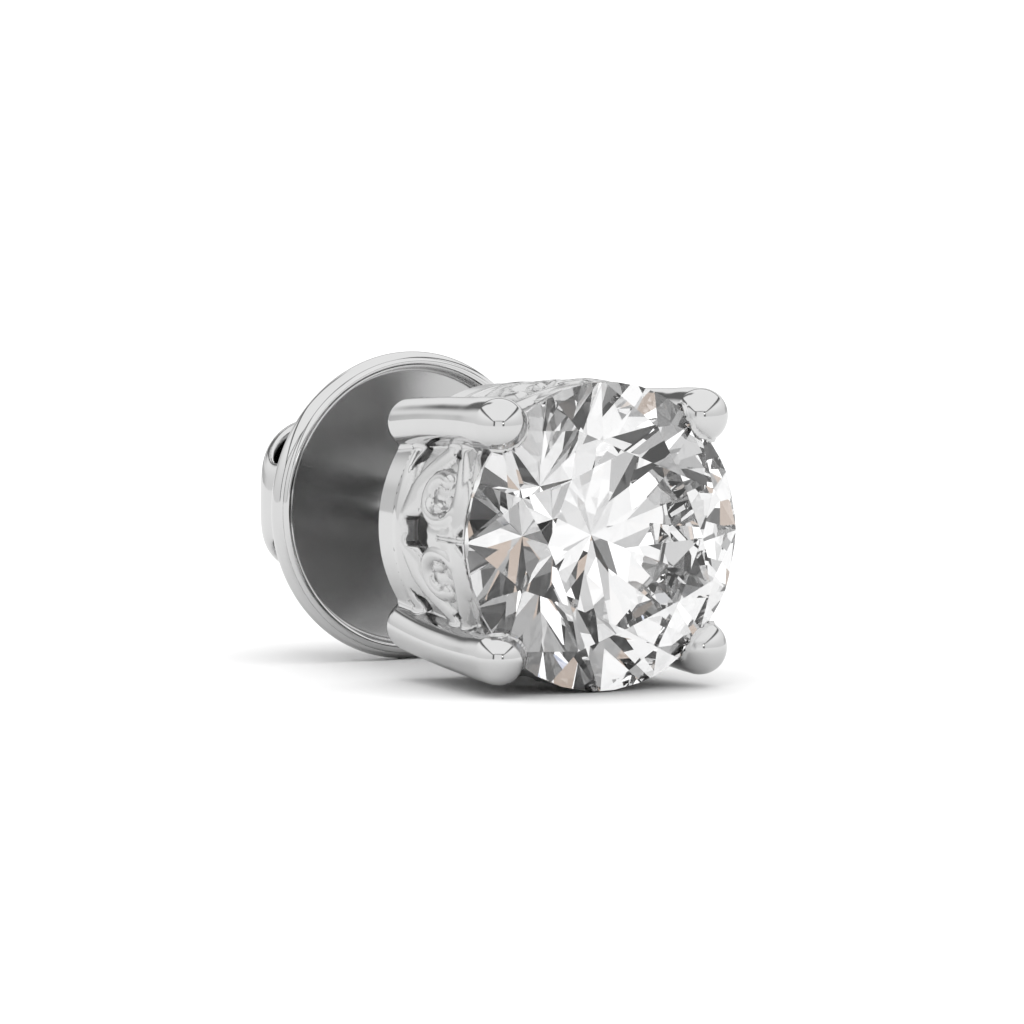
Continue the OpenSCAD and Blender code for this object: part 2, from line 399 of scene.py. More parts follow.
@dataclass(frozen=True)
class Proportions:
    """Facet proportions of the round brilliant, with heights from the girdle's middle.

    Attributes:
        radius: radius at the girdle.
        table_share: width of the table as a share of the diameter.
        crown_deg: slope of the kites.
        pavilion_deg: slope of the pavilion's mains.
        girdle_t: thickness of the girdle at the kites.
        star_share: length of a star as a share of the way to the girdle.
        lower_share: radius where lower halves meet, as a share of the radius.
        flats: flats round the girdle.
        trim: how far the flats lie inside the full radius.
    """

    radius: float = 3.25
    table_share: float = 0.57
    crown_deg: float = 34.5
    pavilion_deg: float = 40.75
    girdle_t: float = 0.12
    star_share: float = 0.5
    lower_share: float = 0.23
    flats: int = 32
    trim: float = 0.04

    @property
    def table_r(self) -> float:
        """Radius of the table's corners."""
        return self.radius * self.table_share

    @property
    def table_h(self) -> float:
        """Height of the table."""
        return -self.girdle_t / 2 - (self.radius - self.table_r) * math.tan(math.radians(self.crown_deg))

    @property
    def lower_r(self) -> float:
        """Radius where the lower halves meet."""
        return self.radius * self.lower_share

    @property
    def lower_h(self) -> float:
        """Height where the lower halves meet."""
        reach = self.radius - self.lower_r * math.cos(math.pi / 8)
        return self.girdle_t / 2 + reach * math.tan(math.radians(self.pavilion_deg))

    @property
    def half_slope(self) -> float:
        """Slope of the lower halves' outer edges, as rise over run."""
        return (self.lower_h - self.girdle_t / 2) / (self.radius - self.lower_r)


CUT = Proportions()


@dataclass
class Stone:
    """The round brilliant, cut by planes from a prism with the girdle's flats.

    Attributes:
        cut: its proportions.
        axis: the stud's axis in the row frame.
        rough_h: half the height of the prism that it is cut from.
        weld_share: distance for welding corners, as a share of the radius.
        upright: how far a girdle face's normal may lean along the axis.
    """

    cut: Proportions
    axis: Axis
    rough_h: float = 3.0
    weld_share: float = 2e-5
    upright: float = 1e-3

    def corner(self, radius: float, turn: float, height: float) -> Points:
        """Point at a radius, an angle in eighths of a turn and a height.

        Args:
            radius: distance from the axis.
            turn: angle in eighths of a turn.
            height: height along the axis.

        Returns:
            The point.
        """
        angle = turn * math.pi / 4
        return np.array([radius * math.cos(angle), radius * math.sin(angle), height])

    def facet(self, *corners: Points) -> tuple[Points, float]:
        """Lays a plane through three corners.

        Args:
            corners: the three corners.

        Returns:
            The plane's outward normal, and its distance from the girdle's middle.
        """
        a, b, c = corners
        normal = np.cross(b - a, c - a)
        normal /= np.linalg.norm(normal)
        normal *= math.copysign(1, normal @ a)
        return normal, float(normal @ a)

    def leaning(self, turn: float, slope_deg: float, radius: float, height: float) -> tuple[Points, float]:
        """Lays a plane that leans evenly, as the kites and the mains do.

        Args:
            turn: its direction in eighths of a turn.
            slope_deg: its slope against the girdle's plane.
            radius: radius of a point on it.
            height: height of that point.

        Returns:
            The plane's outward normal, and its distance from the girdle's middle.
        """
        slope = math.radians(slope_deg)
        normal = self.corner(math.sin(slope), turn, math.copysign(math.cos(slope), height))
        return normal, float(normal @ self.corner(radius, turn, height))

    def facets(self) -> list[tuple[Points, float]]:
        """All 57 facets: table, kites, stars, upper halves, mains and lower halves.

        Returns:
            The facets as outward normals and distances from the girdle's middle.
        """
        cut = self.cut
        half = cut.girdle_t / 2
        table_edge = cut.table_r * math.cos(math.pi / 8)
        star_r = table_edge + cut.star_share * (cut.radius - table_edge)
        star_fall = (cut.radius - star_r * math.cos(math.pi / 8)) * math.tan(math.radians(cut.crown_deg))
        star_h = -half - star_fall
        planes = [(np.array([0.0, 0.0, -1.0]), -cut.table_h)]
        for turn in range(8):
            planes.append(self.leaning(turn, cut.crown_deg, cut.radius, -half))
            planes.append(self.leaning(turn, cut.pavilion_deg, cut.radius, half))
            table = [self.corner(cut.table_r, turn + side, cut.table_h) for side in (0, 1)]
            planes.append(self.facet(*table, self.corner(star_r, turn + 0.5, star_h)))
            for side in (-0.5, 0.5):
                tips = [self.corner(cut.radius, turn + s, -half) for s in (0, side)]
                planes.append(self.facet(self.corner(star_r, turn + side, star_h), *tips))
                tips = [self.corner(cut.radius, turn + s, half) for s in (0, side)]
                planes.append(self.facet(self.corner(cut.lower_r, turn + side, cut.lower_h), *tips))
        return planes

    def rough(self) -> list[Points]:
        """Makes the prism that the stone is cut from.

        Returns:
            Its faces, each a row of corners.
        """
        corner_r = (self.cut.radius - self.cut.trim) / math.cos(math.pi / self.cut.flats)
        turns = (np.arange(self.cut.flats) + 0.5) * 8 / self.cut.flats
        front, rear = ([self.corner(corner_r, t, h) for t in turns] for h in (-self.rough_h, self.rough_h))
        sides = [
            np.array([front[i - 1], front[i], rear[i], rear[i - 1]])
            for i in range(self.cut.flats)
        ]
        return [np.array(front[::-1]), np.array(rear), *sides]

    def cut_by(self, faces: list[Points], normal: Points, distance: float) -> list[Points]:
        """Cuts a convex body by a plane and closes the cut.

        Args:
            faces: the body's faces, each a row of corners.
            normal: the plane's outward normal.
            distance: its distance from the girdle's middle.

        Returns:
            The faces that are left, the new one last.
        """
        kept: list[Points] = []
        rim: list[Points] = []
        for face in faces:
            height = face @ normal - distance
            corners: list[Points] = []
            for i, corner in enumerate(face):
                before = height[i - 1]
                if (before > 0) != (height[i] > 0):
                    share = before / (before - height[i])
                    corners.append(face[i - 1] + share * (corner - face[i - 1]))
                    rim.append(corners[-1])
                if height[i] <= 0:
                    corners.append(corner)
            if len(corners) > 2:
                kept.append(np.array(corners))
        if rim:
            ring = np.array(rim)
            middle = ring.mean(0)
            side = np.cross(normal, ring[0] - middle)
            front = np.cross(side, normal)
            turn = np.arctan2((ring - middle) @ side, (ring - middle) @ front)
            kept.append(ring[np.argsort(turn)])
        return kept

    def build(self) -> bpy.types.Object:
        """Cuts the stone and welds its faces.

        Returns:
            The flat-shaded object, with its girdle in the second material.
        """
        faces = self.rough()
        for normal, distance in self.facets():
            faces = self.cut_by(faces, normal, distance)
        sheet = bmesh.new()
        for face in faces:
            rows = self.axis.lay(face)
            corners = [sheet.verts.new(row) for row in rows]
            sheet.faces.new(corners)
        weld = self.weld_share * self.cut.radius * MM
        bmesh.ops.remove_doubles(sheet, verts=sheet.verts, dist=weld)
        bmesh.ops.dissolve_degenerate(sheet, edges=sheet.edges, dist=weld)
        bmesh.ops.recalc_face_normals(sheet, faces=sheet.faces)
        for face in sheet.faces:
            face.material_index = int(abs(face.normal.y) < self.upright)
            face.smooth = False
        mesh = bpy.data.meshes.new("round_brilliant")
        sheet.to_mesh(mesh)
        sheet.free()
        piece = bpy.data.objects.new("round_brilliant", mesh)
        bpy.context.scene.collection.objects.link(piece)
        return piece


@dataclass(frozen=True)
class Panel:
    """One pierced side of the basket, drawn on the rolled-out wall for half its width.

    Attributes:
        sink: how far the plain wall lies under the gallery's outer radius.
        wall_t: thickness of the wall.
        ends: heights of its front and rear edges.
        raised: scroll, its dome and bead, the plain middle, straps and rear rim.
        sunk: the scroll's hollow eye and the line between the two scrolls.
        holes: outlines that go right through.
        blend: fillet between raised forms.
        hole_edge: rounding of the holes' edges.
    """

    sink: float = 0.17
    wall_t: float = 0.4
    ends: tuple[float, float] = (0.2, 3.5)
    raised: tuple[Ridge | Mound, ...] = (
        Ridge(((0.5, 0.76), (0.36, 1.1), (0.34, 1.6), (0.5, 2.03), (0.8, 2.18), (1.08, 2.05),
               (1.22, 1.7), (1.17, 1.36)), 0.21, 0.2),
        Mound((0.93, 1.62), (0.34, 0.52), 0.09, 1.5),
        Mound((0.6, 1.5), (0.15, 0.21), 0.2),
        Ridge(((0.0, 0.7), (0.0, 1.72)), 0.3, 0.17, 0.3),
        Mound((0.2, 0.6), (1.1, 0.46), 0.17, 0.3),
        Ridge(((0.36, 3.1), (0.62, 2.92), (0.95, 2.77), (1.25, 2.48), (1.5, 2.16), (1.72, 1.9),
               (2.0, 1.64)), 0.33, 0.17),
        Ridge(((0.0, 0.66), (0.5, 0.66), (0.9, 0.7), (1.3, 0.84), (1.62, 1.02), (2.0, 1.26)), 0.25, 0.17),
        Ridge(((0.0, 3.36), (1.2, 3.36), (2.0, 3.4)), 0.34, 0.17),
    )
    sunk: tuple[Ridge | Mound, ...] = (
        Mound((0.64, 1.14), (0.24, 0.2), -0.16, 1.0),
        Ridge(((0.0, 1.3), (0.0, 0.2)), 0.05, -0.04, 1.0),
    )
    holes: tuple[tuple[tuple[float, float], ...], ...] = (
        ((-0.4, 3.05), (0.24, 3.05), (0.31, 2.96), (0.33, 2.7), (0.48, 2.46), (0.36, 2.26),
         (0.2, 2.04), (0, 1.82), (-0.4, 1.82)),
        ((1.54, 1.2), (1.64, 1.1), (1.86, 1.5), (1.74, 1.6)),
        ((1.42, 0.24), (1.95, 0.24), (1.95, 0.72), (1.8, 0.66)),
        ((0.1, 0.3), (0.26, 0.3), (0.1, 0.5)),
        ((1.3, 3.28), (1.5, 3.14), (1.7, 2.98), (1.9, 2.98), (1.92, 3.14), (1.7, 3.22), (1.4, 3.32)),
    )

    blend: float = 0.04
    hole_edge: float = 0.07

    def distance(self, u: np.ndarray, h: np.ndarray, w: np.ndarray) -> np.ndarray:
        """Distance to the panel.

        Args:
            u: distance round the wall from the panel's middle.
            h: height along the axis.
            w: distance out from the wall's face.

        Returns:
            The distance of each point.
        """
        relief = np.zeros(u.shape)
        for form in self.raised:
            relief = smooth_max(relief, form.relief(u, h), self.blend)
        relief += sum(form.relief(u, h) for form in self.sunk) - self.sink
        solid = np.maximum(w - relief, -w - self.wall_t)
        solid = np.maximum(solid, np.maximum(self.ends[0] - h, h - self.ends[1]))
        for outline in self.holes:
            solid = smooth_max(solid, -polygon_distance(u, h, outline), self.hole_edge)
        return solid


@dataclass
class Setting:
    """The casting: four prongs, the pierced gallery, its base ring and the bridge inside.

    Attributes:
        cut: proportions of the stone that it holds.
        axis: the stud's axis in the row frame.
        tip_spread: distance of a prong's tip from the axis, across and down alike.
        rear_spread: the same distance for a prong's rear end.
        tip_h: height of a tip's middle.
        rear_h: height of a rear end's middle.
        bow: how far a prong bows outwards.
        collar: reach and half thickness of the ledge under a tip, and the radius where it ends.
        prong_radii: radius at even steps from a tip to its rear end.
        wall: rows of height and outer radius of the gallery and the ring.
        ring_h: heights of the ring's front and rear edges.
        ring_inner: the ring's inner radius.
        ring_edge: rounding of the ring's edges.
        seat_gap: gap between the stone and its seats.
        roll_r: radius that turns an angle into a distance round the rolled-out wall.
        fillets: fillet of the ring, of the prongs and of the ledges.
        bar: half length, half width, middle height and half thickness of the bridge's bar.
        boss: radius, middle height and half height of the bridge's boss.
        socket: radius and foot of the post's socket, where it starts to widen, and how fast.
        bridge_fillet: fillet between the bar, the boss and the ring.
        panel: one pierced side.
        near: least and most distance from the wall's face, and height, where the panel counts.
        steps: width of a mesh cell, and of a quick one.
        grid_side: how far the mesh's grid reaches across.
        grid_ends: heights of its ends.
    """

    cut: Proportions
    axis: Axis
    tip_spread: float = 2.42
    rear_spread: float = 2.12
    tip_h: float = 0.04
    rear_h: float = 4.15
    bow: float = 0.11
    collar: tuple[float, float, float] = (0.63, 0.08, 3.3)
    prong_radii: tuple[float, ...] = (0.575, 0.55, 0.515, 0.495, 0.49, 0.49, 0.495, 0.51, 0.53)
    wall: tuple[tuple[float, float], ...] = ((0.22, 3.2), (1.2, 3.19), (3.3, 2.96), (4.33, 2.86))
    ring_h: tuple[float, float] = (3.3, 4.33)
    ring_inner: float = 2.54
    ring_edge: float = 0.07
    seat_gap: float = 0.03
    roll_r: float = 3.0
    fillets: tuple[float, float, float] = (0.08, 0.16, 0.03)
    bar: tuple[float, float, float, float] = (2.69, 0.6, 3.825, 0.375)
    boss: tuple[float, float, float] = (0.86, 3.725, 0.605)
    socket: tuple[float, float, float, float] = (0.42, 3.4, 3.82, 0.086)
    bridge_fillet: float = 0.12
    panel: Panel = field(default_factory=Panel)
    near: tuple[float, float, float, float] = (-0.9, 0.5, -0.2, 4.0)
    steps: tuple[float, float] = (0.057, 0.1)
    grid_side: float = 3.26
    grid_ends: tuple[float, float] = (-0.62, 4.8)

    def seat(self, rho: np.ndarray, h: np.ndarray) -> np.ndarray:
        """Distance to the stone's space, with the seat's gap round it.

        Args:
            rho: distance from the axis.
            h: height along the axis.

        Returns:
            The distance of each point.
        """
        radius = self.cut.radius + self.seat_gap
        half = self.cut.girdle_t / 2 + self.seat_gap
        crown = math.radians(self.cut.crown_deg)
        pavilion = math.atan(self.cut.half_slope)
        front = (rho - radius) * math.sin(crown) - (h + half) * math.cos(crown)
        rear = (rho - radius) * math.sin(pavilion) + (h - half) * math.cos(pavilion)
        return np.maximum(np.maximum(front, rear), rho - radius)

    def wall_r(self, h: np.ndarray) -> np.ndarray:
        """Outer radius of the gallery at each height."""
        heights, radii = np.array(self.wall).T
        return np.interp(h, heights, radii)

    def ring(self, rho: np.ndarray, h: np.ndarray) -> np.ndarray:
        """Distance to the base ring, a tapering band with rounded edges.

        Args:
            rho: distance from the axis.
            h: height along the axis.

        Returns:
            The distance of each point.
        """
        edge = self.ring_edge
        low_h, high_h = self.ring_h
        outer, inner = self.wall_r(h), self.ring_inner
        across = np.abs(rho - (outer + inner) / 2) - (outer - inner) / 2 + edge
        along = np.abs(h - (low_h + high_h) / 2) - (high_h - low_h) / 2 + edge
        outside = np.hypot(np.maximum(across, 0), np.maximum(along, 0))
        return outside + np.minimum(np.maximum(across, along), 0) - edge

    def quarter(self, p: Points) -> np.ndarray:
        """Distance to what repeats on all four sides: panels, prongs and ring.

        Args:
            p: points on the stud's own axis.

        Returns:
            The distance of each point.
        """
        side = np.abs(p[:, :2])
        x, y = side.max(1), side.min(1)
        h = p[:, 2]
        rho = np.hypot(x, y)
        w = rho - self.wall_r(h)
        u = self.roll_r * np.arctan2(y, x)
        ring_fillet, prong_fillet, ledge_fillet = self.fillets
        solid = np.full(len(p), FAR)
        low_w, high_w, low_h, high_h = self.near
        near = (w > low_w) & (w < high_w) & (h > low_h) & (h < high_h)
        solid[near] = self.panel.distance(u[near], h[near], w[near])
        solid = smooth_min(solid, self.ring(rho, h), ring_fillet)
        tip = np.array([self.tip_spread, self.tip_spread, self.tip_h])
        rear = np.array([self.rear_spread, self.rear_spread, self.rear_h])
        bow = np.array([1, 1, 0]) * self.bow / math.sqrt(2)
        prong = bent_tube(np.column_stack([x, y, h]), (tip, rear), bow, self.prong_radii)
        solid = smooth_min(solid, prong, prong_fillet)
        solid = smooth_min(solid, self.ledge(np.column_stack([x, y, h]), tip), ledge_fillet)
        return np.maximum(solid, -self.seat(rho, h))

    def ledge(self, p: Points, tip: Points) -> np.ndarray:
        """Distance to the thin ledge between a prong's tip and the stone.

        Args:
            p: points on the stud's own axis, taken to one eighth of the turn.
            tip: middle of the prong's tip.

        Returns:
            The distance of each point.
        """
        reach, thick, outer = self.collar
        edge = 0.06
        crown = math.radians(self.cut.crown_deg)
        out = math.sin(crown) / math.sqrt(2)
        off = p - tip
        above = off @ np.array([out, out, -math.cos(crown)])
        across = np.sqrt(np.maximum((off**2).sum(1) - above**2, 0))
        plate = smooth_max(across - reach, np.abs(above) - thick, edge)
        return smooth_max(plate, np.hypot(p[:, 0], p[:, 1]) - outer, edge)

    def bridge(self, p: Points) -> np.ndarray:
        """Distance to the plain bar across the ring, with the boss that holds the post.

        Args:
            p: points on the stud's own axis.

        Returns:
            The distance of each point.
        """
        rho = np.hypot(p[:, 0], p[:, 1])
        half_l, half_w, bar_h, half_t = self.bar
        boss_r, boss_h, boss_half = self.boss
        bar = np.maximum(np.abs(p[:, 0]) - half_l, np.abs(p[:, 1]) - half_w)
        bar = np.maximum(bar, np.abs(p[:, 2] - bar_h) - half_t)
        boss = np.maximum(rho - boss_r, np.abs(p[:, 2] - boss_h) - boss_half)
        return smooth_min(bar, boss, self.bridge_fillet)

    def solid(self, p: Points) -> np.ndarray:
        """Distance to the whole casting, less the post's socket."""
        return self.finished(self.quarter(p), p)

    def finished(self, quarter: np.ndarray, p: Points) -> np.ndarray:
        """Joins the bridge to what repeats on the sides, and cuts the socket.

        Args:
            quarter: distance of each point to what repeats.
            p: the same points on the stud's own axis.

        Returns:
            The distance of each point to the whole casting.
        """
        joined = smooth_min(quarter, self.bridge(p), self.bridge_fillet)
        rho = np.hypot(p[:, 0], p[:, 1])
        radius, foot_h, cone_h, widening = self.socket
        straight = np.maximum(rho - radius, foot_h - p[:, 2])
        cone = np.maximum(rho - radius - widening * (p[:, 2] - cone_h), cone_h - p[:, 2])
        return np.maximum(joined, -np.minimum(straight, cone))

    def build(self) -> bpy.types.Object:
        """Meshes the casting.

        Returns:
            The smooth-shaded object.
        """
        mesher = Mesher(step=self.steps[int(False)])
        side = int(math.ceil(self.grid_side / mesher.step))
        reach = side * mesher.step
        front, rear = self.grid_ends
        low = np.array([-reach, -reach, front])
        grid = mesher.grid(low, (reach - mesher.step / 2, reach - mesher.step / 2, rear))
        wedge_x, wedge_y = np.tril_indices(side + 1)
        wedge = grid[side + wedge_x, side + wedge_y]
        part = self.quarter(wedge.reshape(-1, 3)).reshape(wedge.shape[:2])
        square = np.empty((side + 1, side + 1, grid.shape[2]))
        square[wedge_x, wedge_y] = part
        square[wedge_y, wedge_x] = part
        mirror = np.abs(np.arange(-side, side + 1))
        whole = square[mirror][:, mirror]
        values = self.finished(whole.ravel(), grid.reshape(-1, 3)).reshape(whole.shape)
        return mesher.mesh("scroll_basket", self.solid, low, values, self.axis)


def lathe(name: str, profile: Points, closed: bool, axis: Axis, turns: int = 288) -> bpy.types.Object:
    """Turns a profile round the stud's axis.

    Args:
        name: the piece's name.
        profile: rows of radius and height.
        closed: whether the profile is a loop; else its ends lie on the axis.
        axis: the stud's axis in the row frame.
        turns: steps round the axis.

    Returns:
        The smooth-shaded object, creased where the profile has a corner.
    """
    angles = np.arange(turns) * 2 * math.pi / turns
    radius, height = np.asarray(profile, float).T
    rings = np.stack([
        np.outer(radius, np.cos(angles)),
        np.outer(radius, np.sin(angles)),
        np.outer(height, np.ones(turns)),
    ], axis=-1)
    count = len(profile)
    quads = []
    for row in range(count if closed else count - 1):
        for turn in range(turns):
            a, b = row * turns, (row + 1) % count * turns
            after = (turn + 1) % turns
            quads.append((a + turn, b + turn, b + after, a + after))
    mesh = bpy.data.meshes.new(name)
    mesh.from_pydata(axis.lay(rings.reshape(-1, 3)), [], quads)
    sheet = bmesh.new()
    sheet.from_mesh(mesh)
    bmesh.ops.remove_doubles(sheet, verts=sheet.verts, dist=WELD)
    bmesh.ops.recalc_face_normals(sheet, faces=sheet.faces)
    sheet.to_mesh(mesh)
    sheet.free()
    mesh.shade_smooth()
    mesh.set_sharp_from_angle(angle=math.radians(CREASE_DEG))
    piece = bpy.data.objects.new(name, mesh)
    bpy.context.scene.collection.objects.link(piece)
    return piece


def arc(centre: tuple[float, float], radius: float, start: float, end: float, steps: int = 12) -> Points:
    """Points on an arc.

    Args:
        centre: radius and height of its middle.
        radius: its radius.
        start: angle in degrees at which it starts.
        end: angle in degrees at which it ends.
        steps: stretches along it.

    Returns:
        Rows of radius and height.
    """
    angles = np.radians(np.linspace(start, end, steps + 1))
    return np.column_stack([
        centre[0] + radius * np.cos(angles),
        centre[1] + radius * np.sin(angles),
    ])


@dataclass
class Post:
    """Plain rod with a foot in the boss and a rounded tip.

    Attributes:
        axis: the stud's axis in the row frame.
        stretches: radius and height at each change of the rod.
        tip_h: height of the tip.
        turns: steps round the rod.
    """

    axis: Axis
    stretches: tuple[tuple[float, float], ...] = (
        (0.36, 3.42), (0.4, 3.46), (0.4, 3.82), (0.45, 4.4), (0.45, 7.66), (0.44, 8.24),
    )
    tip_h: float = 12.6
    turns: int = 96

    def build(self) -> bpy.types.Object:
        """Turns the post.

        Returns:
            The smooth-shaded object.
        """
        grip_r = self.stretches[-1][0]
        tip = arc((0, self.tip_h - grip_r), grip_r, 0, 90, 16)
        tip[-1, 0] = 0
        profile = np.vstack([[(0, self.stretches[0][1])], self.stretches, tip])
        return lathe("post_rod", profile, False, self.axis, self.turns)


@dataclass
class Disc:
    """Large back disc: a slightly hollow face inside a rolled, polished rim.

    Attributes:
        axis: the stud's axis in the row frame.
        hole_r: radius of the hole for the post.
        face_h: height of the face at its edge.
        hollow: how much deeper the face is in the middle.
        rear_h: height of the rear face.
        lip: radius, height and roundness of the lip's bead.
        rim: radius of the disc and roundness of its outer edge, in front and behind.
        rim_h: height of the middle of the front rounding.
        hole_edge: rounding of the hole's edges.
        cove: rounding between the face and the lip.
    """

    axis: Axis
    hole_r: float = 0.5
    face_h: float = 8.05
    hollow: float = 0.09
    rear_h: float = 8.38
    lip: tuple[float, float, float] = (3.02, 7.85, 0.105)
    rim: tuple[float, float, float] = (3.247, 0.2, 0.32)
    rim_h: float = 8.06
    hole_edge: float = 0.03
    cove: float = 0.1

    def build(self) -> bpy.types.Object:
        """Turns the disc.

        Returns:
            The smooth-shaded object.
        """
        lip_r, lip_h, bead = self.lip
        disc_r, edge, rear_edge = self.rim
        round_r = self.hole_edge
        hole_front = self.face_h + self.hollow
        dish_r = np.linspace(self.hole_r + round_r, lip_r - bead - self.cove, 24)
        dish_h = self.face_h + self.hollow * (1 - (dish_r / dish_r[-1]) ** 2)
        profile = np.vstack([
            arc((self.hole_r + round_r, self.rear_h - round_r), round_r, 90, 180, 4),
            arc((self.hole_r + round_r, hole_front + round_r), round_r, 180, 265, 4),
            np.column_stack([dish_r, dish_h])[1:],
            arc((lip_r - bead - self.cove, self.face_h - self.cove), self.cove, 85, 5, 8),
            arc((lip_r, lip_h), bead, 180, 388, 24),
            arc((disc_r - edge, self.rim_h), edge, -68, 0, 12),
            arc((disc_r - rear_edge, self.rear_h - rear_edge), rear_edge, 0, 90, 12)[1:],
            np.column_stack([np.linspace(disc_r - rear_edge, self.hole_r + round_r, 8)[1:-1],
                             np.full(6, self.rear_h)]),
        ])
        return lathe("disc_back", profile, True, self.axis)


@dataclass
class Nut:
    """Friction nut of one bent strip: a flat base and a curl on each side of the post.

    Attributes:
        axis: the stud's axis in the row frame.
        strip_t: thickness of the strip.
        base: half length and height of the flat base.
        curl: distance from the post's axis and height of a curl's middle.
        curl_r: radius of a curl to the middle of the strip.
        curl_end: angle in degrees at which the rolled strip ends.
        curl_shrink: how far the roll closes in on its way.
        half_w: half the width of the nut's oval outline.
        reach: half its length.
        hole_r: radius of the hole for the post.
        edge: rounding of the outline's edge.
        hole_edge: rounding of the hole's edge.
        curl_steps: points along a curl.
        steps: width of a mesh cell, and of a quick one.
        grid_low: lowest corner of the mesh's grid.
        grid_high: its highest corner.
    """

    axis: Axis
    strip_t: float = 0.3
    base: tuple[float, float] = (0.75, 8.57)
    curl: tuple[float, float] = (1.38, 10.0)
    curl_r: float = 0.79
    curl_end: float = 420.0
    curl_shrink: float = 0.52
    half_w: float = 1.84
    reach: float = 2.34
    hole_r: float = 0.5
    edge: float = 0.14
    hole_edge: float = 0.08
    curl_steps: int = 72
    steps: tuple[float, float] = (0.045, 0.09)
    grid_low: tuple[float, float, float] = (-2.6, -2.0, 8.2)
    grid_high: tuple[float, float, float] = (2.6, 2.0, 11.2)

    def middle(self) -> Points:
        """Middle line of the strip on one side of the post.

        Returns:
            Rows of distance across and height.
        """
        base_x, base_h = self.base
        across, up = self.curl[0] - base_x, self.curl[1] - base_h
        lean = math.atan2(up, across) - math.asin(self.curl_r / math.hypot(across, up))
        angles = np.linspace(math.degrees(lean) - 90, self.curl_end, self.curl_steps)
        shrink = np.clip((angles - 90) / (self.curl_end - 90), 0, 1) * self.curl_shrink
        radius = self.curl_r - shrink
        curl = np.column_stack([
            self.curl[0] + radius * np.cos(np.radians(angles)),
            self.curl[1] + radius * np.sin(np.radians(angles)),
        ])
        return np.vstack([[(0, base_h), (base_x, base_h)], curl])

    def solid(self, p: Points) -> np.ndarray:
        """Distance to the nut.

        Args:
            p: points on the stud's own axis.

        Returns:
            The distance of each point.
        """
        x, y, h = np.abs(p[:, 0]), p[:, 1], p[:, 2]
        line = self.middle()
        best = np.full(len(p), np.inf)
        for (ax, ah), (bx, bh) in zip(line, line[1:]):
            ex, eh = bx - ax, bh - ah
            t = np.clip(((x - ax) * ex + (h - ah) * eh) / (ex * ex + eh * eh), 0, 1)
            best = np.minimum(best, np.hypot(x - ax - t * ex, h - ah - t * eh))
        strip = best - self.strip_t / 2
        outline = (np.hypot(x / self.reach, y / self.half_w) - 1) * self.half_w
        solid = smooth_max(strip, outline, self.edge)
        bore = np.minimum(self.hole_r - np.hypot(x, y), self.curl[1] - h)
        return smooth_max(solid, bore, self.hole_edge)

    def build(self) -> bpy.types.Object:
        """Meshes the nut.

        Returns:
            The smooth-shaded object.
        """
        mesher = Mesher(step=self.steps[int(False)])
        grid = mesher.grid(self.grid_low, self.grid_high)
        values = self.solid(grid.reshape(-1, 3)).reshape(grid.shape[:3])
        return mesher.mesh("butterfly_nut", self.solid, np.array(self.grid_low), values, self.axis)


class Tree:
    """A node tree with short calls for adding and joining nodes."""

    def __init__(self, tree: bpy.types.NodeTree) -> None:
        """Keeps the tree and empties it."""
        self.tree = tree
        tree.nodes.clear()

    def add(self, kind: str, inputs: dict | None = None, **settings: object) -> bpy.types.Node:
        """Adds a node.

        Args:
            kind: the node's type.
            inputs: values or sockets by input name or number.
            settings: properties of the node.

        Returns:
            The node.
        """
        node = self.tree.nodes.new(kind)
        for name, value in settings.items():
            setattr(node, name, value)
        for name, value in (inputs or {}).items():
            if isinstance(value, bpy.types.NodeSocket):
                self.tree.links.new(value, node.inputs[name])
            else:
                node.inputs[name].default_value = value
        return node

    def math(self, operation: str, *values: object, clamp: bool = False) -> bpy.types.NodeSocket:
        """Adds a Math node.

        Args:
            operation: the node's operation.
            values: numbers or sockets for its inputs in order.
            clamp: whether the result stays between 0 and 1.

        Returns:
            Its output.
        """
        node = self.add("ShaderNodeMath", dict(enumerate(values)), operation=operation, use_clamp=clamp)
        return node.outputs[0]

    def ramp(self, value: object, low: float, high: float) -> bpy.types.NodeSocket:
        """Rises smoothly from 0 at low to 1 at high.

        Args:
            value: number or socket to follow.
            low: value that gives 0.
            high: value that gives 1.

        Returns:
            The risen value.
        """
        inputs = {"Value": value, "From Min": low, "From Max": high}
        node = self.add("ShaderNodeMapRange", inputs, interpolation_type="SMOOTHSTEP")
        return node.outputs["Result"]

    def band(self, value: object, low: float, high: float, soft: float) -> bpy.types.NodeSocket:
        """Is 1 between low and high, and fades on both sides.

        Args:
            value: number or socket to follow.
            low: where the band starts.
            high: where it ends.
            soft: half the width of each fade.

        Returns:
            The band.
        """
        rise = self.ramp(value, low - soft, low + soft)
        fall = self.ramp(value, high + soft, high - soft)
        return self.math("MULTIPLY", rise, fall)

    def mix(self, share: object, a: object, b: object) -> bpy.types.NodeSocket:
        """Mixes two colours.

        Args:
            share: share of the second colour.
            a: first colour.
            b: second colour.

        Returns:
            The mixed colour.
        """
        share_at, a_at, b_at, result_at = 0, 6, 7, 2
        node = self.add("ShaderNodeMix", data_type="RGBA")
        for place, value in ((share_at, share), (a_at, a), (b_at, b)):
            if isinstance(value, bpy.types.NodeSocket):
                self.tree.links.new(value, node.inputs[place])
            else:
                node.inputs[place].default_value = value
        return node.outputs[result_at]


def grey(value: float) -> tuple[float, float, float, float]:
    """Neutral colour of one brightness."""
    return (value, value, value, 1)


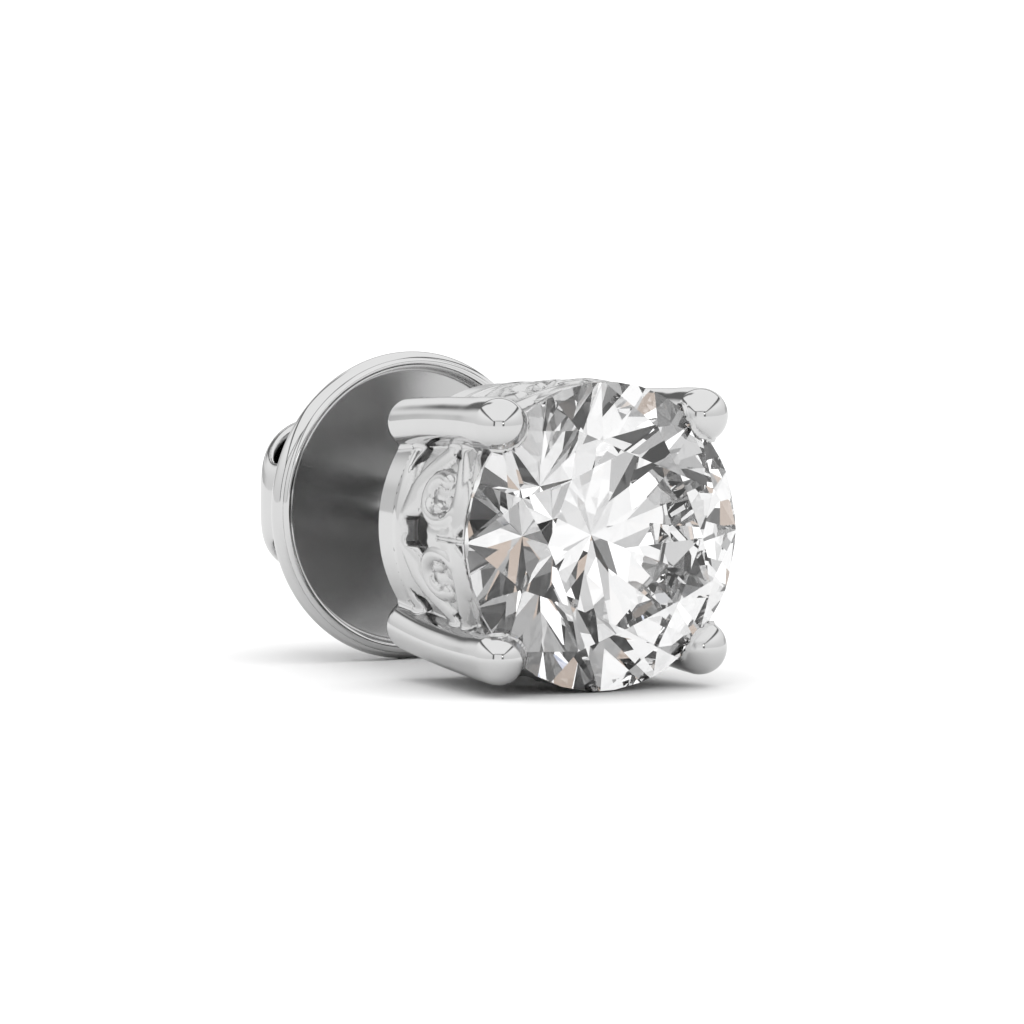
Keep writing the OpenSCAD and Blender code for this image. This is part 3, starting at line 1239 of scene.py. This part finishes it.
def polish_marks() -> bpy.types.NodeTree:
    """Node group of what polishing leaves on metal: cloudy gloss, hairlines and a soft ripple.

    Returns:
        The group, with outputs for tint, roughness and height.
    """
    hair_scale, hair_gloss, hair_depth = 2.5, 0.03, -0.25
    group = bpy.data.node_groups.new("polish_marks", "ShaderNodeTree")
    sockets = (
        ("Scale", "NodeSocketFloat", "INPUT"),
        ("Gloss", "NodeSocketFloat", "INPUT"),
        ("Cloud", "NodeSocketFloat", "INPUT"),
        ("Light", "NodeSocketColor", "INPUT"),
        ("Dark", "NodeSocketColor", "INPUT"),
        ("Tint", "NodeSocketColor", "OUTPUT"),
        ("Roughness", "NodeSocketFloat", "OUTPUT"),
        ("Height", "NodeSocketFloat", "OUTPUT"),
    )
    for name, kind, side in sockets:
        group.interface.new_socket(name=name, in_out=side, socket_type=kind)
    tree = Tree(group)
    given = tree.add("NodeGroupInput")
    place = tree.add("ShaderNodeTexCoord").outputs["Object"]
    cloud = tree.add("ShaderNodeTexNoise", {
        "Vector": place, "Scale": given.outputs["Scale"], "Detail": 3.0, "Roughness": 0.55,
    }).outputs[0]
    stretched = tree.add("ShaderNodeMapping", {"Vector": place, "Scale": (9.0, 1.0, 9.0)}).outputs[0]
    fine_scale = tree.math("MULTIPLY", given.outputs["Scale"], hair_scale)
    hairs = tree.add("ShaderNodeTexNoise", {
        "Vector": stretched, "Scale": fine_scale, "Detail": 4.0, "Roughness": 0.7,
    }).outputs[0]
    hairline = tree.ramp(hairs, 0.62, 0.74)
    swing = tree.math("MULTIPLY", tree.math("SUBTRACT", cloud, 0.5), given.outputs["Cloud"])
    rough = tree.math("ADD", given.outputs["Gloss"], swing)
    rough = tree.math("ADD", rough, tree.math("MULTIPLY", hairline, hair_gloss))
    height = tree.math("ADD", cloud, tree.math("MULTIPLY", hairline, hair_depth))
    tint = tree.mix(cloud, given.outputs["Dark"], given.outputs["Light"])
    tree.add("NodeGroupOutput", {"Tint": tint, "Roughness": rough, "Height": height})
    return group


@dataclass(frozen=True)
class WhiteGold:
    """One finish of white gold.

    Attributes:
        name: the material's name.
        light: brightest reflectance.
        dark: darkest reflectance.
        gloss: roughness of the finish.
        cloud: how far the roughness varies.
        ripple: depth of the polishing ripple in metres.
        grain: size of the marks, as noise cells per metre.
        shade_and_dull_r: distance from the axis in metres within which the metal is given painted shade, a
            darker tone standing in for the shade and dark reflections there, and more roughness.
        painted_shade_tone: reflectance of the metal under that painted shade.
        face_gloss: roughness that it adds.
        pierced: radius and end along +Y in metres of the tumbled gallery, none at 0.
        pierced_gloss: roughness that tumbling adds.
        fade: widths in metres over which such a region starts, across and along.
    """

    name: str
    light: tuple[float, float, float, float] = (0.73, 0.73, 0.73, 1)
    dark: tuple[float, float, float, float] = (0.69, 0.69, 0.69, 1)
    gloss: float = 0.05
    cloud: float = 0.04
    ripple: float = 3e-7
    grain: float = 1600.0
    shade_and_dull_r: float = 0.0
    painted_shade_tone: float = 0.36
    face_gloss: float = 0.14
    pierced: tuple[float, float] = (0.0, 0.0)
    pierced_gloss: float = 0.2
    fade: tuple[float, float] = (0.05 * MM, 0.1 * MM)

    def inside(self, tree: Tree, radius: float, rear_y: float) -> bpy.types.NodeSocket:
        """Mask of the metal within a radius of the axis and in front of a place along +Y.

        Args:
            tree: the material's tree.
            radius: distance from the axis in metres.
            rear_y: place along +Y in metres.

        Returns:
            The mask, 1 inside.
        """
        place = tree.add("ShaderNodeTexCoord").outputs["Object"]
        parts = tree.add("ShaderNodeSeparateXYZ", {"Vector": place}).outputs
        drop = tree.math("SUBTRACT", parts["Z"], AXIS_RISE * MM)
        across = tree.math("POWER", parts["X"], 2.0)
        square = tree.math("MULTIPLY_ADD", drop, drop, across)
        near = tree.ramp(tree.math("SQRT", square), radius, radius - self.fade[0])
        return tree.math("MULTIPLY", near, tree.ramp(parts["Y"], rear_y, rear_y - self.fade[1]))

    def material(self, marks: bpy.types.NodeTree) -> bpy.types.Material:
        """Builds the finish.

        Args:
            marks: the group of polishing marks.

        Returns:
            The material.
        """
        made = bpy.data.materials.new(self.name)
        made.use_nodes = True
        tree = Tree(made.node_tree)
        wear = tree.add("ShaderNodeGroup", node_tree=marks)
        values = {"Scale": self.grain, "Gloss": self.gloss, "Cloud": self.cloud,
                  "Light": self.light, "Dark": self.dark}
        for name, value in values.items():
            wear.inputs[name].default_value = value
        bump = tree.add("ShaderNodeBump", {
            "Height": wear.outputs["Height"], "Distance": self.ripple, "Strength": 1.0,
        }).outputs[0]
        tint, rough = wear.outputs["Tint"], wear.outputs["Roughness"]
        # Painted shade: near the axis the tint is darkened to stand in for shade and dark reflections, and
        # the roughness is raised.
        if self.shade_and_dull_r:
            face = self.inside(tree, self.shade_and_dull_r, FAR)
            tint = tree.mix(face, tint, grey(self.painted_shade_tone))
            rough = tree.math("MULTIPLY_ADD", face, self.face_gloss, rough)
        if self.pierced[0]:
            gallery = self.inside(tree, *self.pierced)
            rough = tree.math("MULTIPLY_ADD", gallery, self.pierced_gloss, rough)
        shader = tree.add("ShaderNodeBsdfPrincipled", {
            "Base Color": tint, "Metallic": 1.0, "Roughness": rough, "Normal": bump,
        })
        tree.add("ShaderNodeOutputMaterial", {"Surface": shader.outputs[0]})
        return made


@dataclass(frozen=True)
class Brilliant:
    """Polished facets or the ground girdle of the stone.

    Attributes:
        name: the material's name.
        ground: roughness of the surface, 0 for polished facets.
        index: refractive index.
        mirror: strength of the surface's own reflection.
        cloud_scale: size of the faint unevenness, as noise cells per metre.
        tint: the slightly darker of its two tones.
    """

    name: str
    ground: float = 0.0
    index: float = 2.417
    mirror: float = 0.4
    cloud_scale: float = 900.0
    tint: tuple[float, float, float, float] = (0.985, 0.985, 0.99, 1)

    def material(self) -> bpy.types.Material:
        """Builds the clear material, with a faint unevenness of tone.

        Returns:
            The material.
        """
        made = bpy.data.materials.new(self.name)
        made.use_nodes = True
        tree = Tree(made.node_tree)
        place = tree.add("ShaderNodeTexCoord").outputs["Object"]
        cloud = tree.add("ShaderNodeTexNoise", {"Vector": place, "Scale": self.cloud_scale}).outputs[0]
        tint = tree.mix(cloud, self.tint, grey(1))
        shader = tree.add("ShaderNodeBsdfPrincipled", {
            "Base Color": tint, "Metallic": 0.0, "Roughness": self.ground,
            "IOR": self.index, "Transmission Weight": 1.0, "Specular Tint": grey(self.mirror),
        })
        tree.add("ShaderNodeOutputMaterial", {"Surface": shader.outputs[0]})
        return made


@dataclass(frozen=True)
class Patch:
    """One upright patch of the studio, as polished metal shows it.

    Attributes:
        turn: its ends round the studio in radians, and how soft they are.
        rise: its lower and upper end in radians, and how soft they are.
        tone: its brightness.
    """

    turn: tuple[float, float, float]
    rise: tuple[float, float, float]
    tone: float

    def lay(
        self, tree: Tree, value: bpy.types.NodeSocket, turn: bpy.types.NodeSocket, rise: bpy.types.NodeSocket,
    ) -> bpy.types.NodeSocket:
        """Lays the patch over what is there.

        Args:
            tree: the world's tree.
            value: brightness so far.
            turn: angle round the studio.
            rise: angle over the floor.

        Returns:
            The brightness with the patch.
        """
        mask = tree.math("MULTIPLY", tree.band(turn, *self.turn), tree.band(rise, *self.rise))
        return tree.mix(mask, value, grey(self.tone))


@dataclass
class Studio:
    """White studio: the floor, the light from all round, and the camera.

    Attributes:
        camera_spot: the camera's place in metres.
        camera_right: direction to the right of the picture.
        camera_up: direction to the top of the picture.
        focal: focal length in millimetres.
        heading_deg: the camera's heading from +Y towards +X.
        sensor: the sensor's width in millimetres.
        clip: nearest and farthest distance in metres that the camera shows.
        floor_half: half the floor's width in metres.
        paper_tones: the floor's darkest and lightest tone, and its tone in polished metal.
        dome_light: brightness of the light from all round on the floor.
        panel_half: half the width of the light overhead, in units of its height.
        panel_ends: its ends behind the stud and in front of it, in the same units.
        panel_soft: how soft its sides and its ends are.
        walls: brightness of the walls at the floor, what they gain, and the rise where they have it.
        gap: how far the dark gap reaches past the light's sides, rear and front, and how soft it is.
        tones: brightness of the light, the gap, the low part behind the stud, and later bounces.
        patches: alcove, door and lamp on the camera's side, by their angle from the camera.
        flag: dark flag high behind the stud, by its angle from straight behind.
        behind: where the low part behind the stud starts and is full, along +Y and in rise.
        later: bounces between which metal and stone fade to the tone of later ones.
        sparkle_turn: turn of the pattern that the stone picks up.
        sparkle_scale: how fine that pattern is.
        sparkle_tones: its colours, each from a share of the pattern on.
    """

    camera_spot: tuple[float, float, float] = (-0.209171, -0.361833, 0.042272)
    camera_right: tuple[float, float, float] = (0.864621, -0.502413, 0.003437)
    camera_up: tuple[float, float, float] = (0.043704, 0.082024, 0.995672)
    focal: float = 703.125
    heading_deg: float = 30.18
    sensor: float = 36.0
    clip: tuple[float, float] = (0.01, 10.0)
    floor_half: float = 1.6
    paper_tones: tuple[float, float, float] = (0.9, 0.92, 0.66)
    dome_light: float = 1.5
    panel_half: float = 1.1
    panel_ends: tuple[float, float] = (-1.55, 2.4)
    panel_soft: tuple[float, float] = (0.03, 0.04)
    walls: tuple[float, float, float] = (0.98, 0.4, 0.7)
    gap: tuple[float, float, float, float] = (0.26, 0.5, 0.35, 0.12)
    tones: tuple[float, float, float, float] = (1.3, 0.12, 0.66, 0.22)
    patches: tuple[Patch, ...] = (
        Patch((-0.42, 0.38, 0.02), (-0.2, 0.35, 0.03), 0.1),
        Patch((-0.3, 0.24, 0.01), (-0.2, 0.35, 0.03), 1.15),
        Patch((0.26, 0.33, 0.02), (0.17, 0.24, 0.02), 5.0),
    )
    flag: Patch = Patch((-0.76, -0.5, 0.12), (0.3, 1.0, 0.08), 0.14)
    behind: tuple[float, float, float, float] = (0.55, 0.75, 0.2, 0.12)
    later: tuple[float, float] = (0.9, 4.5)
    sparkle_turn: tuple[float, float, float] = (0.89, 0.73, 1.91)
    sparkle_scale: float = 2.3
    sparkle_tones: tuple[tuple[float, tuple[float, float, float, float]], ...] = (
        (0.0, grey(0.02)), (0.12, grey(0.1)), (0.2, grey(0.22)), (0.28, grey(0.4)),
        (0.38, grey(0.6)), (0.52, grey(0.78)), (0.68, grey(1.4)), (0.9, (0.6, 0.5, 0.43, 1)),
        (0.96, (0.78, 0.84, 1.0, 1)),
    )

    def floor(self) -> bpy.types.Object:
        """Lays the pale floor.

        Returns:
            The floor.
        """
        mesh = bpy.data.meshes.new("studio_floor")
        half = self.floor_half
        corners = [(-half, -half, 0), (half, -half, 0), (half, half, 0), (-half, half, 0)]
        mesh.from_pydata(corners, [], [(0, 1, 2, 3)])
        piece = bpy.data.objects.new("studio_floor", mesh)
        bpy.context.scene.collection.objects.link(piece)
        made = bpy.data.materials.new("studio_paper")
        made.use_nodes = True
        tree = Tree(made.node_tree)
        place = tree.add("ShaderNodeTexCoord").outputs["Object"]
        cloud = tree.add("ShaderNodeTexNoise", {"Vector": place, "Scale": 600.0}).outputs[0]
        mirrored = tree.add("ShaderNodeLightPath").outputs["Is Glossy Ray"]
        dark, light, in_metal = self.paper_tones
        paper = tree.mix(cloud, grey(dark), grey(light))
        shader = tree.add("ShaderNodeBsdfPrincipled", {
            "Base Color": tree.mix(mirrored, paper, grey(in_metal)),
            "Roughness": 0.9, "Specular IOR Level": 0.0,
        })
        tree.add("ShaderNodeOutputMaterial", {"Surface": shader.outputs[0]})
        mesh.materials.append(made)
        return piece

    def camera(self) -> bpy.types.Object:
        """Places the camera at the photograph's viewing angle.

        Returns:
            The camera.
        """
        data = bpy.data.cameras.new("studio_camera")
        data.sensor_width = self.sensor
        data.lens = self.focal
        data.clip_start, data.clip_end = self.clip
        camera = bpy.data.objects.new("studio_camera", data)
        camera.location = self.camera_spot
        right, up = Vector(self.camera_right), Vector(self.camera_up)
        turned = Matrix((right, up, right.cross(up))).transposed()
        camera.rotation_mode = "QUATERNION"
        camera.rotation_quaternion = turned.to_quaternion()
        bpy.context.scene.collection.objects.link(camera)
        bpy.context.scene.camera = camera
        return camera

    def room(self, tree: Tree, way: bpy.types.NodeSocket) -> bpy.types.NodeSocket:
        """Brightness of the studio as polished metal shows it.

        Args:
            tree: the world's tree.
            way: direction, with +Y away from the camera and +X to its right.

        Returns:
            The brightness.
        """
        parts = tree.add("ShaderNodeSeparateXYZ", {"Vector": way}).outputs
        up = tree.math("MAXIMUM", parts["Z"], 0.001)
        rise = tree.math("ARCSINE", parts["Z"])
        near = tree.math("MULTIPLY", parts["Y"], -1.0)
        turn = tree.math("ARCTAN2", parts["X"], near)
        roof_x = tree.math("DIVIDE", parts["X"], up)
        roof_y = tree.math("DIVIDE", near, up)
        low, high = self.panel_ends
        half = self.panel_half
        side, rear, front, soft = self.gap
        panel_tone, gap_tone, behind_tone, later_tone = self.tones
        side_soft, end_soft = self.panel_soft
        panel_x = tree.band(roof_x, -half, half, side_soft)
        panel = tree.math("MULTIPLY", panel_x, tree.band(roof_y, low, high, end_soft))
        gap_x = tree.band(roof_x, -half - side, half + side, soft)
        gap_y = tree.band(roof_y, low - rear, high + front, soft)
        gap = tree.math("SUBTRACT", tree.math("MULTIPLY", gap_x, gap_y), panel, clamp=True)
        wall_tone, wall_gain, wall_rise = self.walls
        walls = tree.math("ADD", wall_tone, tree.math("MULTIPLY", tree.ramp(rise, 0.0, wall_rise), wall_gain))
        value = tree.mix(panel, walls, grey(panel_tone))
        value = tree.mix(gap, value, grey(gap_tone))
        for patch in self.patches:
            value = patch.lay(tree, value, turn, rise)
        behind_far = tree.ramp(parts["Y"], *self.behind[:2])
        behind = tree.math("MULTIPLY", behind_far, tree.ramp(rise, *self.behind[2:]))
        value = tree.mix(behind, value, grey(behind_tone))
        value = self.flag.lay(tree, value, tree.math("ARCTAN2", parts["X"], parts["Y"]), rise)
        bounces = tree.add("ShaderNodeLightPath").outputs["Ray Depth"]
        return tree.mix(tree.ramp(bounces, *self.later), value, grey(later_tone))

    def sparkle(self, tree: Tree, way: bpy.types.NodeSocket) -> bpy.types.NodeSocket:
        """Colours that the stone picks up: lights with dark and tinted gaps between them.

        Args:
            tree: the world's tree.
            way: direction, with +Y away from the camera and +X to its right.

        Returns:
            The colour.
        """
        turned = tree.add("ShaderNodeMapping", {"Vector": way, "Rotation": self.sparkle_turn}).outputs[0]
        cells = tree.add("ShaderNodeTexVoronoi", {"Vector": turned, "Scale": self.sparkle_scale})
        pick = tree.add("ShaderNodeSeparateColor", {"Color": cells.outputs["Color"]}).outputs[0]
        ramp = tree.add("ShaderNodeValToRGB", {"Fac": pick})
        ramp.color_ramp.interpolation = "CONSTANT"
        stops = ramp.color_ramp.elements
        while len(stops) < len(self.sparkle_tones):
            stops.new(0.5)
        for stop, (place, colour) in zip(stops, self.sparkle_tones):
            stop.position = place
            stop.color = colour
        return ramp.outputs[0]

    def world(self) -> None:
        """Builds the light from all round, seen in its own way by floor, metal and stone."""
        world = bpy.data.worlds.new("studio_world")
        bpy.context.scene.world = world
        world.use_nodes = True
        world.cycles.sampling_method = "NONE"
        tree = Tree(world.node_tree)
        place = tree.add("ShaderNodeTexCoord").outputs["Generated"]
        way = tree.add("ShaderNodeVectorRotate", {
            "Vector": place, "Angle": math.radians(self.heading_deg),
        }, rotation_type="Z_AXIS").outputs[0]
        rays = tree.add("ShaderNodeLightPath").outputs
        colour = tree.mix(rays["Is Glossy Ray"], grey(self.dome_light), self.room(tree, way))
        colour = tree.mix(rays["Is Transmission Ray"], colour, self.sparkle(tree, way))
        colour = tree.mix(rays["Is Camera Ray"], colour, grey(1.0))
        light = tree.add("ShaderNodeBackground", {"Color": colour, "Strength": 1.0})
        tree.add("ShaderNodeOutputWorld", {"Surface": light.outputs[0]})

    def settings(self) -> None:
        """Sets how light is traced and how the picture's tones are shown."""
        scene = bpy.context.scene
        scene.view_settings.view_transform = "Standard"
        scene.view_settings.look = "None"
        cycles = scene.cycles
        cycles.max_bounces = 24
        cycles.transmission_bounces = 24
        cycles.glossy_bounces = 20
        cycles.diffuse_bounces = 2
        cycles.caustics_reflective = False
        cycles.caustics_refractive = False
        cycles.use_denoising = True
        cycles.sampling_pattern = "TABULATED_SOBOL"

    def build(self) -> None:
        """Builds the whole studio."""
        self.floor()
        self.camera()
        self.world()
        self.settings()


def dress(piece: bpy.types.Object, body: Body, slot: Slot, node: str, *finishes: bpy.types.Material) -> None:
    """Gives a piece its finish and its place in the frame.

    Args:
        piece: the piece.
        body: the body that it rides on.
        slot: the record's slot for its finish; not used.
        node: the CAD node that it stands for.
        finishes: its materials.
    """
    for finish in finishes:
        piece.data.materials.append(finish)
    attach(piece, body.value)
    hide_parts(node)
    LOG.info("%s: %d faces, rides on %s", piece.name, len(piece.data.polygons), body.value)


def main() -> None:
    """Builds the studio and the earring's pieces in order."""
    logging.basicConfig(level=logging.INFO, format="%(name)s %(message)s")
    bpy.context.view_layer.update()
    low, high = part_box("stone")
    axis = Axis(rise=(high.z + low.z) / 2 / MM, girdle_y=low.y / MM - CUT.table_h)
    Studio().build()
    marks = polish_marks()
    # casting_shade_r and dish_r bound painted shade: the casting's hollows and the disc's faces are darkened
    # to stand in for shade and dark reflections. gallery_r bounds the rougher gallery.
    casting_shade_r, gallery_r, dish_r = 2.72 * MM, 3.22 * MM, 2.93 * MM
    gallery_end = (Setting.ring_h[0] + axis.girdle_y) * MM
    casting = WhiteGold(
        "white_gold_cast", gloss=0.08, shade_and_dull_r=casting_shade_r,
        pierced=(gallery_r, gallery_end), pierced_gloss=0.16,
    ).material(marks)
    rod = WhiteGold("white_gold_rod", gloss=0.07).material(marks)
    # Painted shade darkens the disc's front and rear faces inside dish_r.
    satin = WhiteGold("white_gold_satin", cloud=0.06, shade_and_dull_r=dish_r, painted_shade_tone=0.6).material(marks)
    strip = WhiteGold("white_gold_strip", gloss=0.08).material(marks)
    facets = Brilliant("brilliant_facets").material()
    girdle = Brilliant("brilliant_girdle", ground=0.12).material()
    dress(Stone(CUT, axis).build(), Body.STUD, Slot.STONE, "stone", facets, girdle)
    dress(Setting(CUT, axis).build(), Body.STUD, Slot.CASTING, "setting", casting)
    dress(Post(axis).build(), Body.STUD, Slot.CASTING, "post", rod)
    dress(Disc(axis).build(), Body.BACK, Slot.DISC, "back_disc", satin)
    dress(Nut(axis).build(), Body.BACK, Slot.STRIP, "back_nut", strip)


if __name__ == "__main__":
    main()
